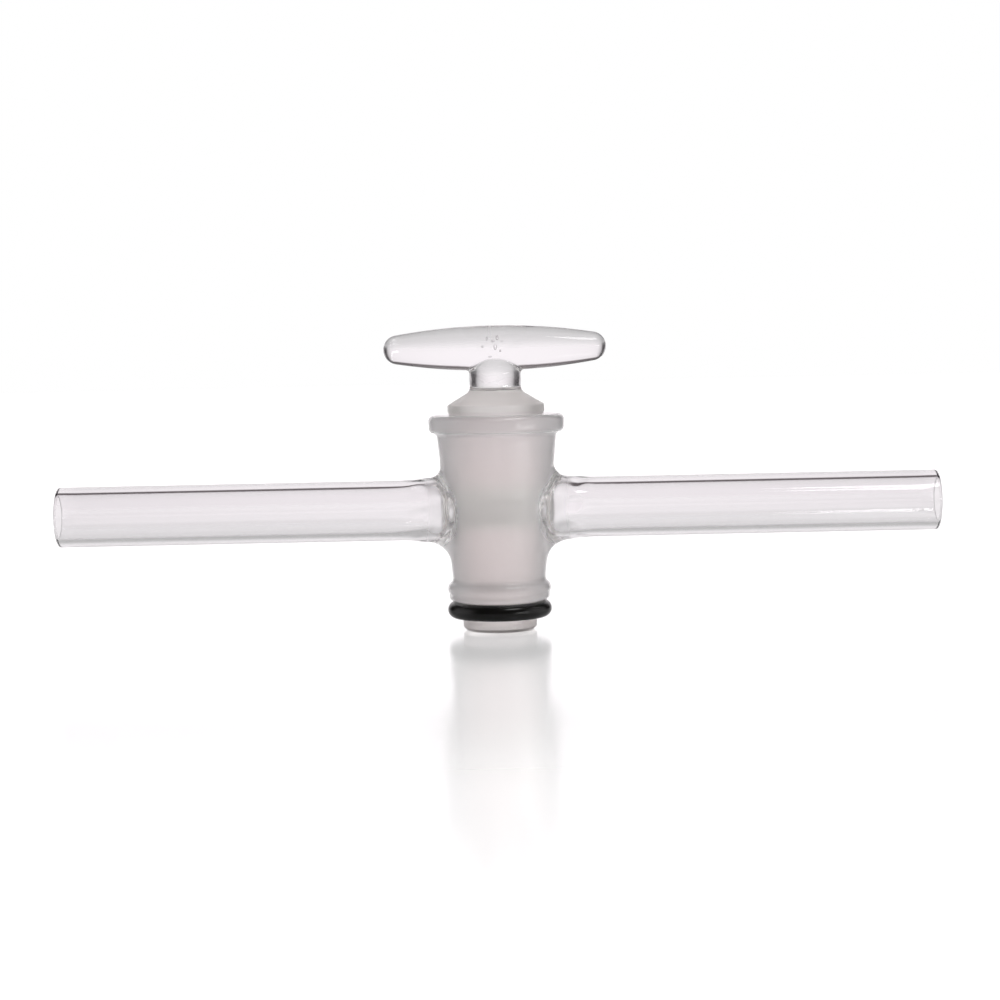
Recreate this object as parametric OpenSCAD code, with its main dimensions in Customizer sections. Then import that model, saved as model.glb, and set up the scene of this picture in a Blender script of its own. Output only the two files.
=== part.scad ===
// Glass stopcock: a barrel with two fused side tubes, a ground key with a
// solid handle, and the rubber ring that keeps the key in.
// +Z is up, the origin is the middle of the key's foot, and the tubes lie along X.

/* [Side tubes] */
// Outside diameter of the side tubes
tube_d = 12; // [10:0.5:15]
// Wall thickness of the side tubes
tube_wall = 1.5; // [1:0.1:2]
// Overall length from tube end to tube end
overall_length = 176; // [100:1:260]
// Height of the tubes' axis above the lower end of the barrel
tube_height = 18.3; // [15:0.1:22]
// Radius on the fire-polished edges of the tube ends
rim_r = 0.55; // [0.3:0.05:0.65]
// Steepest slope of the funnel in which each tube's bore closes in to its port, in degrees
funnel_slope = 70; // [40:5:75]
// Share of that funnel's width that its rounding at the port takes up
funnel_inner_share = 0.4; // [0.2:0.05:0.5]
// How far the fused root of a tube swells out from it
root_swell = 0.35; // [0.1:0.05:0.6]
// Length of that root, from the barrel's wall to the plain tube
root_length = 8.5; // [7:0.1:12]
// Length over which the swelling dies away
swell_length = 5; // [2:0.1:6]
// Radius of the fused fillet above the tubes
upper_fused_r = 2.4; // [1.2:0.1:3]
// Radius of the fused fillet below the tubes
lower_fused_r = 5; // [2:0.1:5.5]

/* [Ground joint] */
// Diameter of the ground cone at the barrel's mouth
mouth_d = 19; // [15:0.1:24]
// Taper of the cone: length for each millimetre of diameter
taper = 10; // [8:0.5:14]
// Radial running clearance of the key in the barrel
joint_gap = 0.04; // [0.02:0.01:0.1]
// Diameter of the passage through the key
passage_d = 4; // [2:0.5:6]
// Diameter of the two ports in the barrel
port_d = 6; // [3:0.5:7]
// Length of each port, from the ground cone to the funnel
port_length = 0.6; // [0.4:0.1:1.6]

/* [Barrel] */
// Length of the barrel from its lower end to its mouth
barrel_length = 37.2; // [32:0.1:46]
// Wall thickness under the flange
upper_wall = 2.65; // [1.8:0.05:3.5]
// Wall thickness just above the bead
lower_wall = 1.4; // [1:0.1:2.5]
// How far the flange stands out from the wall under it
flange_stand = 1.67; // [1.4:0.01:3]
// How far the flange's edge draws in towards its underside
flange_draft = 0.2; // [0:0.05:0.5]
// Thickness of the flange
flange_thick = 3.4; // [2.5:0.1:5]
// Radius on the flange's upper edge
flange_upper_r = 1.2; // [0.5:0.1:1.5]
// Radius on the flange's lower edge
flange_lower_r = 0.75; // [0.3:0.05:1]
// Radius of the fillet under the flange
flange_fillet_r = 0.7; // [0.3:0.05:1]
// How far the bead stands out from the wall
bead_stand = 1.2; // [0.6:0.1:2]
// Section radius of the bead
bead_r = 1.6; // [1.2:0.1:2.2]
// Height of the bead's middle above the barrel's lower end
bead_height = 2.4; // [1.8:0.1:3]
// How far the collar below the bead stands back from it
collar_step = 0.25; // [0.1:0.05:0.6]
// Radius on the barrel's lower edge
collar_edge_r = 0.9; // [0.3:0.1:1.2]
// Radius of the fillet above the bead
bead_fillet_r = 1.2; // [0.5:0.1:2]

/* [Key] */
// Height above the mouth at which the ground cone ends under the shoulder
shoulder_gap = 0.4; // [0.2:0.1:1]
// How far the shoulder stands out from the ground cone
shoulder_step = 0.2; // [0.1:0.05:0.4]
// Height of the shoulder's edge above the mouth
shoulder_rise = 1.95; // [1.6:0.05:3]
// Height of the cone from the shoulder in to the stem
shoulder_cone = 2.7; // [2:0.1:5]
// Radius on the shoulder's edge
shoulder_edge_r = 0.7; // [0.3:0.1:1]
// Radius of the fillet at the foot of the stem
stem_fillet_r = 0.8; // [0.3:0.1:1.5]
// Diameter of the stem
stem_d = 10.3; // [8:0.1:12]
// Bevel on the key's foot
foot_bevel = 0.7; // [0.3:0.1:1]

/* [Handle] */
// Length of the handle
handle_length = 44.4; // [34:0.1:56]
// Diameter of the handle at its middle
handle_d = 9; // [7.5:0.1:11]
// Diameter of the handle's round ends
handle_end_d = 5.8; // [4:0.1:7]
// Height of the handle's axis above the barrel's mouth
handle_height = 13.2; // [12:0.1:17]

/* [Retaining ring] */
// Section diameter of the ring
ring_section = 3.3; // [2.5:0.1:4]
// Height of the ring's middle above the key's foot
ring_height = 4.2; // [3.2:0.1:6]
// Depth of the groove that holds the ring
groove_depth = 0.4; // [0.2:0.05:0.8]
// Gap between the ring and the barrel's lower end
ring_gap = 0.15; // [0.1:0.05:0.4]
// Clearance of the ring in its groove
ring_seat = 0.04; // [0.02:0.01:0.1]

/* [Hidden] */
$fn = 120;
over = 1;                                   // how far a cutter runs past a face

tube_r = tube_d / 2;
tube_bore_r = tube_r - tube_wall;
half_length = overall_length / 2;
passage_r = passage_d / 2;
port_r = port_d / 2;
mouth_r = mouth_d / 2;
slope = 1 / (2 * taper);                    // cone's radius gained for each mm of height

barrel_foot = ring_height + ring_section / 2 + ring_gap;
mouth_z = barrel_foot + barrel_length;
tube_z = barrel_foot + tube_height;
flange_z = mouth_z - flange_thick;
bead_z = barrel_foot + bead_height;
handle_z = mouth_z + handle_height;

// Radius of the barrel's ground cone and of the key's cone at height z
function socket_r(z) = mouth_r - (mouth_z - z) * slope;
function key_r(z) = socket_r(z) - joint_gap;

// The barrel's outer wall is a straight cone between these two points
waist_z = bead_z + bead_r;
waist_r = socket_r(waist_z) + lower_wall;
neck_r = socket_r(flange_z) + upper_wall;
flange_r = neck_r + flange_stand;
wall_slope = (neck_r - waist_r) / (flange_z - waist_z);
function wall_r(z) = waist_r + (z - waist_z) * wall_slope;

bead_centre_r = wall_r(bead_z) + bead_stand - bead_r;
collar_r = bead_centre_r + bead_r - collar_step;
root_r = tube_r + root_swell;
root_x = wall_r(tube_z) + root_length;
fused_around = 40;                          // steps of the fused fillet around a tube
fused_along = 6;                            // steps of its arc, from the tube to the barrel
fused_lift = 12;                            // angle at which its arc would leave both walls
fused_start = 8;                            // angle at which it starts, just inside the glass
fused_depth = 1;                            // how far its body reaches into the glass
// The funnel's two arcs meet at the steepest slope, and together they span bore to port
funnel_arcs_r = (tube_bore_r - port_r) / (1 - cos(funnel_slope));
funnel_inner_r = funnel_inner_share * funnel_arcs_r;
funnel_outer_r = funnel_arcs_r - funnel_inner_r;
funnel_start_x = socket_r(tube_z) + port_length;
funnel_meet_x = funnel_start_x + funnel_inner_r * sin(funnel_slope);
bore_end_x = funnel_start_x + funnel_arcs_r * sin(funnel_slope);

groove_floor_r = key_r(ring_height) - groove_depth;
ring_centre_r = groove_floor_r + ring_section / 2;
foot_r = key_r(foot_bevel);
cone_end_z = mouth_z + shoulder_gap;
shoulder_z = mouth_z + shoulder_rise;
shoulder_r = key_r(cone_end_z) + shoulder_step;
stem_r = stem_d / 2;
stem_foot_z = shoulder_z + shoulder_cone;
stem_dome_z = handle_z - stem_r;

handle_r = handle_d / 2;
handle_end_r = handle_end_d / 2;
handle_end_x = handle_length / 2 - handle_end_r;
// Radius of the long arc that runs into both round ends of the handle
handle_arc_r = (handle_end_x * handle_end_x / (handle_r - handle_end_r) + handle_r + handle_end_r) / 2;
// Where that arc meets the round end, along the handle
handle_meet_x = handle_end_x * handle_arc_r / (handle_arc_r - handle_end_r);

function unit(v) = v / norm(v);

// The three-cornered area between a corner and the arc that rounds it.
// It is cut from an outer corner and added to an inner one.
module corner_web(corner, along_a, along_b, r) {
    a = unit(along_a - corner);
    b = unit(along_b - corner);
    half = acos(a * b) / 2;
    centre = corner + unit(a + b) * r / sin(half);
    difference() {
        polygon([corner, corner + a * r / tan(half), centre, corner + b * r / tan(half)]);
        translate(centre) circle(r);
    }
}

// Turns a profile, drawn as radius and distance, about the tubes' direction
module turned_along_x() {
    rotate([0, 90, 0]) rotate_extrude() children();
}

module at_both_ends() {
    for (turn = [0, 180]) rotate([0, 0, turn]) children();
}

module barrel_wall() {
    under_flange = [neck_r, flange_z];
    wall_foot = [wall_r(barrel_foot), barrel_foot];
    flange_top = [flange_r, mouth_z];
    flange_bottom = [flange_r - flange_draft, flange_z];
    rotate_extrude() {
        polygon([[0, barrel_foot], wall_foot, under_flange, [0, flange_z]]);
        corner_web(under_flange, flange_bottom, wall_foot, flange_fillet_r);
        difference() {
            polygon([[0, flange_z], flange_bottom, flange_top, [0, mouth_z]]);
            corner_web(flange_top, [0, mouth_z], flange_bottom, flange_upper_r);
            corner_web(flange_bottom, flange_top, [0, flange_z], flange_lower_r);
        }
    }
}

// The bead and the collar below it, with the fillet that runs into the wall
module barrel_bead() {
    centre = [bead_centre_r, bead_z];
    up = unit([wall_slope, 1]);
    out = [up[1], -up[0]];
    stand = (centre - [wall_r(bead_z), bead_z]) * out;
    rise = sqrt(pow(bead_r + bead_fillet_r, 2) - pow(bead_fillet_r - stand, 2));
    fillet_centre = centre + up * rise + out * (bead_fillet_r - stand);
    wall_point = fillet_centre - out * bead_fillet_r;
    collar_corner = [collar_r, barrel_foot];
    rotate_extrude() {
        translate(centre) circle(bead_r);
        difference() {
            translate([0, barrel_foot]) square([collar_r, bead_height]);
            corner_web(collar_corner, [0, barrel_foot], [collar_r, bead_z], collar_edge_r);
        }
        difference() {
            polygon([centre, fillet_centre, wall_point, wall_point - out * lower_wall / 2]);
            translate(fillet_centre) circle(bead_fillet_r);
        }
    }
}

module side_tubes() {
    rim = [tube_r, half_length];
    translate([0, 0, tube_z]) at_both_ends() turned_along_x() {
        difference() {
            square(rim);
            corner_web(rim, [0, half_length], [tube_r, 0], rim_r);
        }
        polygon([[0, 0], [root_r, 0], [root_r, root_x - swell_length], [tube_r, root_x], [0, root_x]]);
    }
}

// A ball of the fillet's radius rolls in the corner between tube and barrel.
// Its radius changes around the tube, from straight up at 0 to straight down at 180.
function ball_r(around) = (upper_fused_r + lower_fused_r) / 2
    + (upper_fused_r - lower_fused_r) / 2 * cos(around);
function ball_centre(around) = let(
        r = ball_r(around),
        y = (root_r + r) * sin(around),
        z = tube_z + (root_r + r) * cos(around),
        reach = wall_r(z) + r * sqrt(1 + wall_slope * wall_slope)
    ) [sqrt(reach * reach - y * y), y, z];

// One section of the fillet: the ball's arc from the tube to the barrel, then back inside the glass
function fused_section(around) = let(
        r = ball_r(around),
        centre = ball_centre(around),
        to_tube = [0, -sin(around), -cos(around)],
        to_wall = unit([-centre[0], -centre[1], wall_slope * norm([centre[0], centre[1]])]),
        sweep = acos(to_tube * to_wall),
        side = unit(to_wall - to_tube * cos(sweep)),
        turns = [for (step = [0 : fused_along]) fused_start + (sweep - 2 * fused_start) * step / fused_along],
        deep = r + fused_depth
    ) concat(
        [for (turn = turns) centre + r * (to_tube * cos(turn) + side * sin(turn)) / cos(fused_lift)],
        [centre + deep * to_wall, centre + deep * (to_wall + to_tube), centre + deep * to_tube]
    );

module fused_fillet() {
    sections = [for (i = [0 : fused_around - 1]) fused_section((i + 0.5) * 360 / fused_around)];
    rows = len(sections[0]);
    points = [for (section = sections) each section];
    faces = [for (i = [0 : fused_around - 1], j = [0 : rows - 1]) each let(
            a = i * rows + j,
            b = i * rows + (j + 1) % rows,
            c = ((i + 1) % fused_around) * rows + (j + 1) % rows,
            d = ((i + 1) % fused_around) * rows + j
        ) [[a, b, c], [a, c, d]]];
    polyhedron(points, faces);
}

// The port in the barrel's wall, the funnel out of it and the tube's bore
module tube_bores() {
    inner_rim = [tube_bore_r, half_length];
    translate([0, 0, tube_z]) at_both_ends() turned_along_x() {
        square([port_r, bore_end_x]);
        translate([0, funnel_start_x]) {
            difference() {
                square([port_r + funnel_inner_r, funnel_meet_x - funnel_start_x]);
                translate([port_r + funnel_inner_r, 0]) circle(funnel_inner_r);
            }
            intersection() {
                translate([tube_bore_r - funnel_outer_r, bore_end_x - funnel_start_x]) circle(funnel_outer_r);
                square([tube_bore_r, half_length]);
            }
        }
        translate([0, bore_end_x]) square([tube_bore_r, half_length - bore_end_x + over]);
        corner_web(inner_rim, [tube_r, half_length], [tube_bore_r, 0], rim_r);
    }
}

module ground_socket() {
    low = barrel_foot - over;
    high = mouth_z + over;
    rotate_extrude() polygon([[0, low], [socket_r(low), low], [socket_r(high), high], [0, high]]);
}

module barrel() {
    color([0.80, 0.80, 0.79]) difference() {
        union() {
            barrel_wall();
            barrel_bead();
            side_tubes();
            at_both_ends() fused_fillet();
        }
        ground_socket();
        tube_bores();
    }
}

// The key's turned body: foot, groove, ground cone, shoulder, stem and the stem's round top
module key_body() {
    foot = [foot_r, foot_bevel];
    cone_end = [key_r(cone_end_z), cone_end_z];
    shoulder_foot = [shoulder_r, cone_end_z];
    shoulder = [shoulder_r, shoulder_z];
    stem_foot = [stem_r, stem_foot_z];
    stem_top = [stem_r, stem_dome_z];
    rotate_extrude() {
        difference() {
            polygon([
                [0, 0], [foot_r - foot_bevel, 0], foot, cone_end,
                shoulder_foot, shoulder, stem_foot, stem_top, [0, stem_dome_z]
            ]);
            corner_web(shoulder, shoulder_foot, stem_foot, shoulder_edge_r);
            translate([ring_centre_r, ring_height]) circle(ring_section / 2 + ring_seat);
        }
        corner_web(stem_foot, stem_top, shoulder, stem_fillet_r);
        intersection() {
            translate([0, stem_dome_z]) circle(stem_r);
            translate([0, stem_dome_z]) square(stem_r);
        }
    }
}

module handle() {
    translate([0, 0, handle_z]) turned_along_x() {
        intersection() {
            translate([handle_r - handle_arc_r, 0]) circle(handle_arc_r, $fn = 720);
            translate([0, -handle_meet_x]) square([handle_r, 2 * handle_meet_x]);
        }
        for (side = [-1, 1]) intersection() {
            translate([0, side * handle_end_x]) circle(handle_end_r);
            translate([0, -handle_length / 2]) square([handle_r, handle_length]);
        }
    }
}

module key() {
    color([0.78, 0.76, 0.75]) difference() {
        union() {
            key_body();
            handle();
        }
        translate([-mouth_d, 0, tube_z]) rotate([0, 90, 0]) cylinder(r = passage_r, h = 2 * mouth_d);
    }
}

module retaining_ring() {
    color([0.05, 0.05, 0.05]) rotate_extrude()
        translate([ring_centre_r, ring_height]) circle(ring_section / 2);
}

barrel();
key();
retaining_ring();
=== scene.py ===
from math import acos, atan2, cos, pi, radians, sin, sqrt, tan

import bmesh
import bpy
from mathutils import Matrix, Vector, noise


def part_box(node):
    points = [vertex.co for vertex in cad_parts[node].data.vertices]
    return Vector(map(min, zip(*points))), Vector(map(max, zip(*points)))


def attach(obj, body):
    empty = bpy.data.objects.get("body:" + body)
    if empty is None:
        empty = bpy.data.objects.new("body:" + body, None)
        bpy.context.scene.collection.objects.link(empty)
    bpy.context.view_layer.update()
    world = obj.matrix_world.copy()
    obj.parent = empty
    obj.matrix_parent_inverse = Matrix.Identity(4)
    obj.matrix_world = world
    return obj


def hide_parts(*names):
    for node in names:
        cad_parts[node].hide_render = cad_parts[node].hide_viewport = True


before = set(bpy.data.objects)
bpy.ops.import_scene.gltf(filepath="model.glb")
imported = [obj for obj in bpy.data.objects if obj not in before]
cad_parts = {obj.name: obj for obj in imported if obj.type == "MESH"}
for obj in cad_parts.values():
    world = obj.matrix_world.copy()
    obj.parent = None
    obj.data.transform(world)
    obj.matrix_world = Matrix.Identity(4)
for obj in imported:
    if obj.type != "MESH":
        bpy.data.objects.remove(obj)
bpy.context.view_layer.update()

mm = 0.001  # all shapes are drawn in millimetres and brought to metres at the end
barrelLow, barrelHigh = (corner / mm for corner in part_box("barrel"))
keyLow, keyHigh = (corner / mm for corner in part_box("key"))
ringLow, ringHigh = (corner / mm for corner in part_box("retaining_ring"))

turnSteps = 120  # steps of a full turn about the upright axis
frameColumns = 34  # columns of that turn that a tube or a passage takes up
frameRows = 34  # and rows of its height
ringSteps = 2 * (frameColumns + frameRows)  # steps around a tube, one for each edge of that frame

mergeWithin = 0.0008  # points nearer than this become one
mirrorWithin = 0.001  # and so do points this near their own mirror image
sliverLength = 0.0004  # shorter edges than this go
sameWithin = 0.001  # a point this near a ring's place is on the ring


# Drawing helpers: outlines are lists of points in the XZ plane, as distance and height

def point(distance, height):
    return Vector((distance, 0, height))


def rounded(before, corner, after, radius, steps=8):
    # the points of an arc that rounds a corner
    toBefore, toAfter = (before - corner).normalized(), (after - corner).normalized()
    half = toBefore.angle(toAfter) / 2
    centre = corner + (toBefore + toAfter).normalized() * radius / sin(half)
    start = (corner + toBefore * radius / tan(half) - centre).normalized()
    end = (corner + toAfter * radius / tan(half) - centre).normalized()
    return [centre + start.slerp(end, step / steps) * radius for step in range(steps + 1)]


def arc(centre, radius, fromAngle, toAngle, steps):
    # angles in degrees, from the outward direction up
    angles = [radians(fromAngle + (toAngle - fromAngle) * step / steps) for step in range(steps + 1)]
    return [centre + radius * Vector((cos(a), 0, sin(a))) for a in angles]


def between(start, end, steps):
    # the points inside a straight stretch, without its ends
    return [start.lerp(end, step / steps) for step in range(1, steps)]


def addObject(name, data):
    made = bpy.data.objects.new(name, data)
    bpy.context.scene.collection.objects.link(made)
    return made


def drawWire(bm, points, closed=False):
    verts = [bm.verts.new(p) for p in points]
    edges = [bm.edges.new(pair) for pair in zip(verts, verts[1:])]
    if closed:
        edges.append(bm.edges.new((verts[-1], verts[0])))
    return verts + edges


def turn(bm, wire, axis, centre, angle, steps):
    full = abs(angle) > 2 * pi - 1e-6
    bmesh.ops.spin(
        bm, geom=wire, cent=centre, axis=axis, dvec=(0, 0, 0), angle=angle, steps=steps,
        use_merge=full, use_normal_flip=False, use_duplicate=False,
    )


def turnHalf(bm, outline, closed=False):
    # half a turn about the upright axis, over the side of the right tube
    quarter = Matrix.Rotation(-pi / 2, 4, "Z")
    wire = drawWire(bm, [quarter @ p for p in outline], closed)
    turn(bm, wire, (0, 0, 1), (0, 0, 0), pi, turnSteps // 2)


def growRows(bm, ring, rows, closed=True):
    # extrudes a ring of vertices row by row; each row lists the places of its vertices in order
    for row in rows:
        pairs = list(zip(ring, ring[1:] + ring[:1] if closed else ring[1:]))
        edges = [bm.edges.get(pair) for pair in pairs]
        made = bmesh.ops.extrude_edge_only(bm, edges=edges)["geom"]
        fresh = {v for v in made if isinstance(v, bmesh.types.BMVert)}
        ring = [next(e.other_vert(v) for e in v.link_edges if e.other_vert(v) in fresh) for v in ring]
        for v, place in zip(ring, row):
            v.co = place
    return ring


def closeHalf(bm):
    # the other half is a mirror image; then one closed skin with its faces outwards
    bmesh.ops.remove_doubles(bm, verts=bm.verts, dist=mergeWithin)
    whole = bm.verts[:] + bm.edges[:] + bm.faces[:]
    bmesh.ops.mirror(bm, geom=whole, matrix=Matrix(), merge_dist=mirrorWithin, axis="X")
    bmesh.ops.dissolve_degenerate(bm, dist=sliverLength, edges=bm.edges)
    bmesh.ops.recalc_face_normals(bm, faces=bm.faces)


def moveAlongNormals(bm, distanceAt):
    bm.normal_update()
    moves = [(v, v.normal * distanceAt(v.co)) for v in bm.verts]
    for v, move in moves:
        v.co += move


def unsettle(bm, depthAt, size):
    # glass that has flowed is never quite even: each point moves in or out by a little
    moveAlongNormals(bm, lambda place: depthAt(place) * noise.noise(place / size))


def finish(bm, name, slots, sharp=40):
    for edge in bm.edges:
        edge.smooth = not (edge.is_manifold and edge.calc_face_angle(0) > radians(sharp))
    for face in bm.faces:
        face.smooth = True
    openEdges = sum(not e.is_manifold for e in bm.edges)
    volume = bm.calc_volume(signed=True)
    bmesh.ops.scale(bm, vec=(mm, mm, mm), verts=bm.verts)
    mesh = bpy.data.meshes.new(name)
    bm.to_mesh(mesh)
    bm.free()
    for material in slots:
        mesh.materials.append(material)
    print(f"{name}: {len(mesh.polygons)} faces, {openEdges} open edges, {volume:.0f} cubic mm")
    return addObject(name, mesh)


def frameLoop(columnAngle, rowHeights):
    # the frame's vertices as (turn, height), from the top middle round towards +Y
    side = frameColumns // 2
    top, foot = rowHeights[0], rowHeights[-1]
    loop = [(k, top) for k in range(0, side + 1)]
    loop += [(side, height) for height in rowHeights[1:]]
    loop += [(k, foot) for k in range(side - 1, -side - 1, -1)]
    loop += [(-side, height) for height in reversed(rowHeights[:-1])]
    loop += [(k, top) for k in range(-side + 1, 0)]
    return [(k * columnAngle, height) for k, height in loop]


# Shared sizes of the ground joint, in millimetres

joint = {
    "mouthRadius": 9.5,
    "taper": 0.05,  # radius gained for each millimetre of height
    "clearance": 0.04,  # between the ground faces, where the grease is
    "passageRadius": 2.0,
    "tubeHeight": 24.3,
    "frameTop": 35.0,
    "frameFoot": 11.8,
}
edgeEase = 1.6  # above 1, rows of faces crowd near the edge of a hole
columnTurn = 2 * pi / turnSteps
rowStep = (joint["frameTop"] - joint["frameFoot"]) / frameRows
rowHeights = [joint["frameTop"] - rowStep * row for row in range(frameRows + 1)]
openFrame = frameLoop(columnTurn, rowHeights)
tubeCentre = Vector((0, 0, joint["tubeHeight"]))


def socketRadius(height):
    return joint["mouthRadius"] - (barrelHigh.z - height) * joint["taper"]


def onTurn(radius, angle, height):
    return Vector((radius * cos(angle), radius * sin(angle), height))


def aroundTube(radius, along, step):
    angle = 2 * pi * step / ringSteps
    return Vector((along, radius * sin(angle), joint["tubeHeight"] + radius * cos(angle)))


def tubeRing(bm, along, radius):
    # the ring of vertices at one place along the tube, from the top round towards +Y
    def bearing(v):
        # a hair before the top still counts as the top
        return (atan2(v.co.y, v.co.z - joint["tubeHeight"]) + 1e-4) % (2 * pi)

    ring = [
        v for v in bm.verts
        if abs(v.co.x - along) < sameWithin and abs((v.co - tubeCentre).yz.length - radius) < sameWithin
    ]
    return sorted(ring, key=bearing)


def cutFrame(bm):
    # opens a wall where a tube or a passage comes through
    half = frameColumns / 2 * columnTurn
    inFrame = []
    for face in bm.faces:
        middle = face.calc_center_median()
        if abs(atan2(middle.y, middle.x)) < half and rowHeights[-1] < middle.z < rowHeights[0]:
            inFrame.append(face)
    bmesh.ops.delete(bm, geom=inFrame, context="FACES")


def passageEdge(wallRadius, holeRadius, step):
    edge = aroundTube(holeRadius, 0, step)
    edge.x = sqrt(wallRadius(edge.z) ** 2 - edge.y ** 2)
    return edge


def passageRun(wallRadius, holeRadius, start, steps):
    # from a ring in the hole out to the hole's round edge in a ground cone
    rows = []
    for row in range(1, steps + 1):
        places = [passageEdge(wallRadius, holeRadius, step) for step in range(ringSteps)]
        for place in places:
            place.x = start + (place.x - start) * row / steps
        rows.append(places)
    return rows


def passageRows(wallRadius, holeRadius, steps):
    # from the round edge of the passage in a ground cone out to the frame, easing away from the edge
    rows = []
    for row in range(1, steps + 1):
        share = (row / steps) ** edgeEase
        places = []
        for step, (angle, height) in enumerate(openFrame):
            edge = passageEdge(wallRadius, holeRadius, step)
            turned, up = atan2(edge.y, edge.x), edge.z
            turned, up = turned + (angle - turned) * share, up + (height - up) * share
            places.append(onTurn(wallRadius(up), turned, up))
        rows.append(places)
    return rows


# Barrel with its two side tubes

barrelSizes = {
    "flangeRadius": 13.65,
    "flangeFoot": 39.8,
    "flangeFootRadius": 13.45,
    "flangeUpperRound": 1.2,
    "flangeLowerRound": 0.75,
    "flangeFillet": 1.25,
    "neckRadius": 11.98,
    "waistRadius": 9.24,
    "waistHeight": 10.0,
    "beadHeight": 8.4,
    "beadCentreRadius": 8.693,
    "beadRound": 1.6,
    "beadFillet": 1.2,
    "collarRadius": 10.043,
    "collarRound": 0.9,
    "tubeRadius": 6.0,
    "boreRadius": 4.5,
    "rimRound": 0.55,
    "rootRadius": 6.35,
    "rootStart": 14.655,  # the tube is drawn from here out, and the fused corner takes over inwards
    "rootEnd": 19.055,
    "swellLength": 5.0,
    "portRadius": 3.0,
    "funnelStart": 9.155,
    "funnelSlope": 70.0,
    "funnelPortRound": 0.912,
    "funnelBoreRound": 1.368,
    "boreStart": 17.5,  # rings lie closer before this place in the bore
    "funnelUneven": 0.3,  # how far the glass has flowed, in the funnel and around the root
    "rootUneven": 0.16,
    "unevenSize": 3.0,
    "unevenRise": 2.0,  # it grows over this distance from the ground cone
    "unevenFade": 4.0,  # and fades over this one towards the tube
    "unevenReach": 12.0,  # and is gone this far from the tubes' axis
    "unevenEdge": 3.0,
    "upperFused": 2.4,  # radius of the fused corner over and under the tube
    "lowerFused": 5.0,
}


def wallRadius(height):
    b = barrelSizes
    slope = (b["neckRadius"] - b["waistRadius"]) / (b["flangeFoot"] - b["waistHeight"])
    return b["waistRadius"] + (height - b["waistHeight"]) * slope


def rootRadius(along):
    # the tube's root swells out a little towards the barrel
    b = barrelSizes
    share = min(max((b["rootEnd"] - along) / b["swellLength"], 0), 1)
    share = share * share * (3 - 2 * share)
    return b["tubeRadius"] + (b["rootRadius"] - b["tubeRadius"]) * share


def barrelOutline():
    b = barrelSizes
    mouth, foot = barrelHigh.z, barrelLow.z
    mouthEdge, footEdge = point(socketRadius(mouth), mouth), point(socketRadius(foot), foot)
    flangeTop, flangeFoot = point(b["flangeRadius"], mouth), point(b["flangeFootRadius"], b["flangeFoot"])
    neck, waist = point(b["neckRadius"], b["flangeFoot"]), point(b["waistRadius"], b["waistHeight"])
    frameTop = point(wallRadius(rowHeights[0]), rowHeights[0])
    frameFoot = point(wallRadius(rowHeights[-1]), rowHeights[-1])
    up = (neck - waist).normalized()
    out = Vector((up.z, 0, -up.x))
    bead = point(b["beadCentreRadius"], b["beadHeight"])
    stand = (bead - waist).dot(out)  # the bead's centre lies this far outside the wall's line
    rise = sqrt((b["beadRound"] + b["beadFillet"]) ** 2 - (b["beadFillet"] - stand) ** 2)
    fillet = bead + up * rise + out * (b["beadFillet"] - stand)
    beadTouch = (bead - fillet).normalized()
    webs = [fillet + (-out).slerp(beadTouch, step / 6) * b["beadFillet"] for step in range(7)]
    beadFrom = atan2((fillet - bead).z, (fillet - bead).x) * 180 / pi
    collarDrop = -acos((b["collarRadius"] - bead.x) / b["beadRound"]) * 180 / pi
    beadArc = arc(bead, b["beadRound"], beadFrom, collarDrop, 16)[1:]
    collar = point(b["collarRadius"], foot)
    points = [mouthEdge] + between(mouthEdge, flangeTop, 5)[:3]
    points += rounded(mouthEdge, flangeTop, flangeFoot, b["flangeUpperRound"])
    points += rounded(flangeTop, flangeFoot, neck, b["flangeLowerRound"])
    points += rounded(flangeFoot, neck, waist, b["flangeFillet"])
    points += between(points[-1], frameTop, 4)
    points += [point(wallRadius(height), height) for height in rowHeights]
    points += between(frameFoot, webs[0], 3) + webs + beadArc
    points += rounded(beadArc[-1], collar, footEdge, b["collarRound"])
    points += between(points[-1], footEdge, 3) + [footEdge]
    points += between(footEdge, point(socketRadius(rowHeights[-1]), rowHeights[-1]), 6)
    points += [point(socketRadius(height), height) for height in reversed(rowHeights)]
    points += between(point(socketRadius(rowHeights[0]), rowHeights[0]), mouthEdge, 8)
    return points


def tubeOutline():
    b = barrelSizes
    end = barrelHigh.x
    slope = b["funnelSlope"]
    length = (b["funnelPortRound"] + b["funnelBoreRound"]) * sin(radians(slope))
    portArc = point(b["funnelStart"], b["portRadius"] + b["funnelPortRound"])
    boreArc = point(b["funnelStart"] + length, b["boreRadius"] - b["funnelBoreRound"])
    boreStart, innerRim = point(b["boreStart"], b["boreRadius"]), point(end, b["boreRadius"])
    outerRim, root = point(end, b["tubeRadius"]), point(b["rootEnd"], b["tubeRadius"])
    points = arc(portArc, b["funnelPortRound"], -90, slope - 90, 8)
    points += arc(boreArc, b["funnelBoreRound"], 90 + slope, 90, 10)[1:]
    points += between(points[-1], boreStart, 8) + [boreStart] + between(boreStart, innerRim, 18)
    points += rounded(points[-1], innerRim, outerRim, b["rimRound"])
    points += rounded(innerRim, outerRim, root, b["rimRound"])
    points += between(points[-1], root, 22)
    for step in range(9):
        along = b["rootEnd"] + (b["rootStart"] - b["rootEnd"]) * step / 8
        points.append(point(along, rootRadius(along)))
    for p in points:
        p.z += joint["tubeHeight"]
    return points


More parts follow.
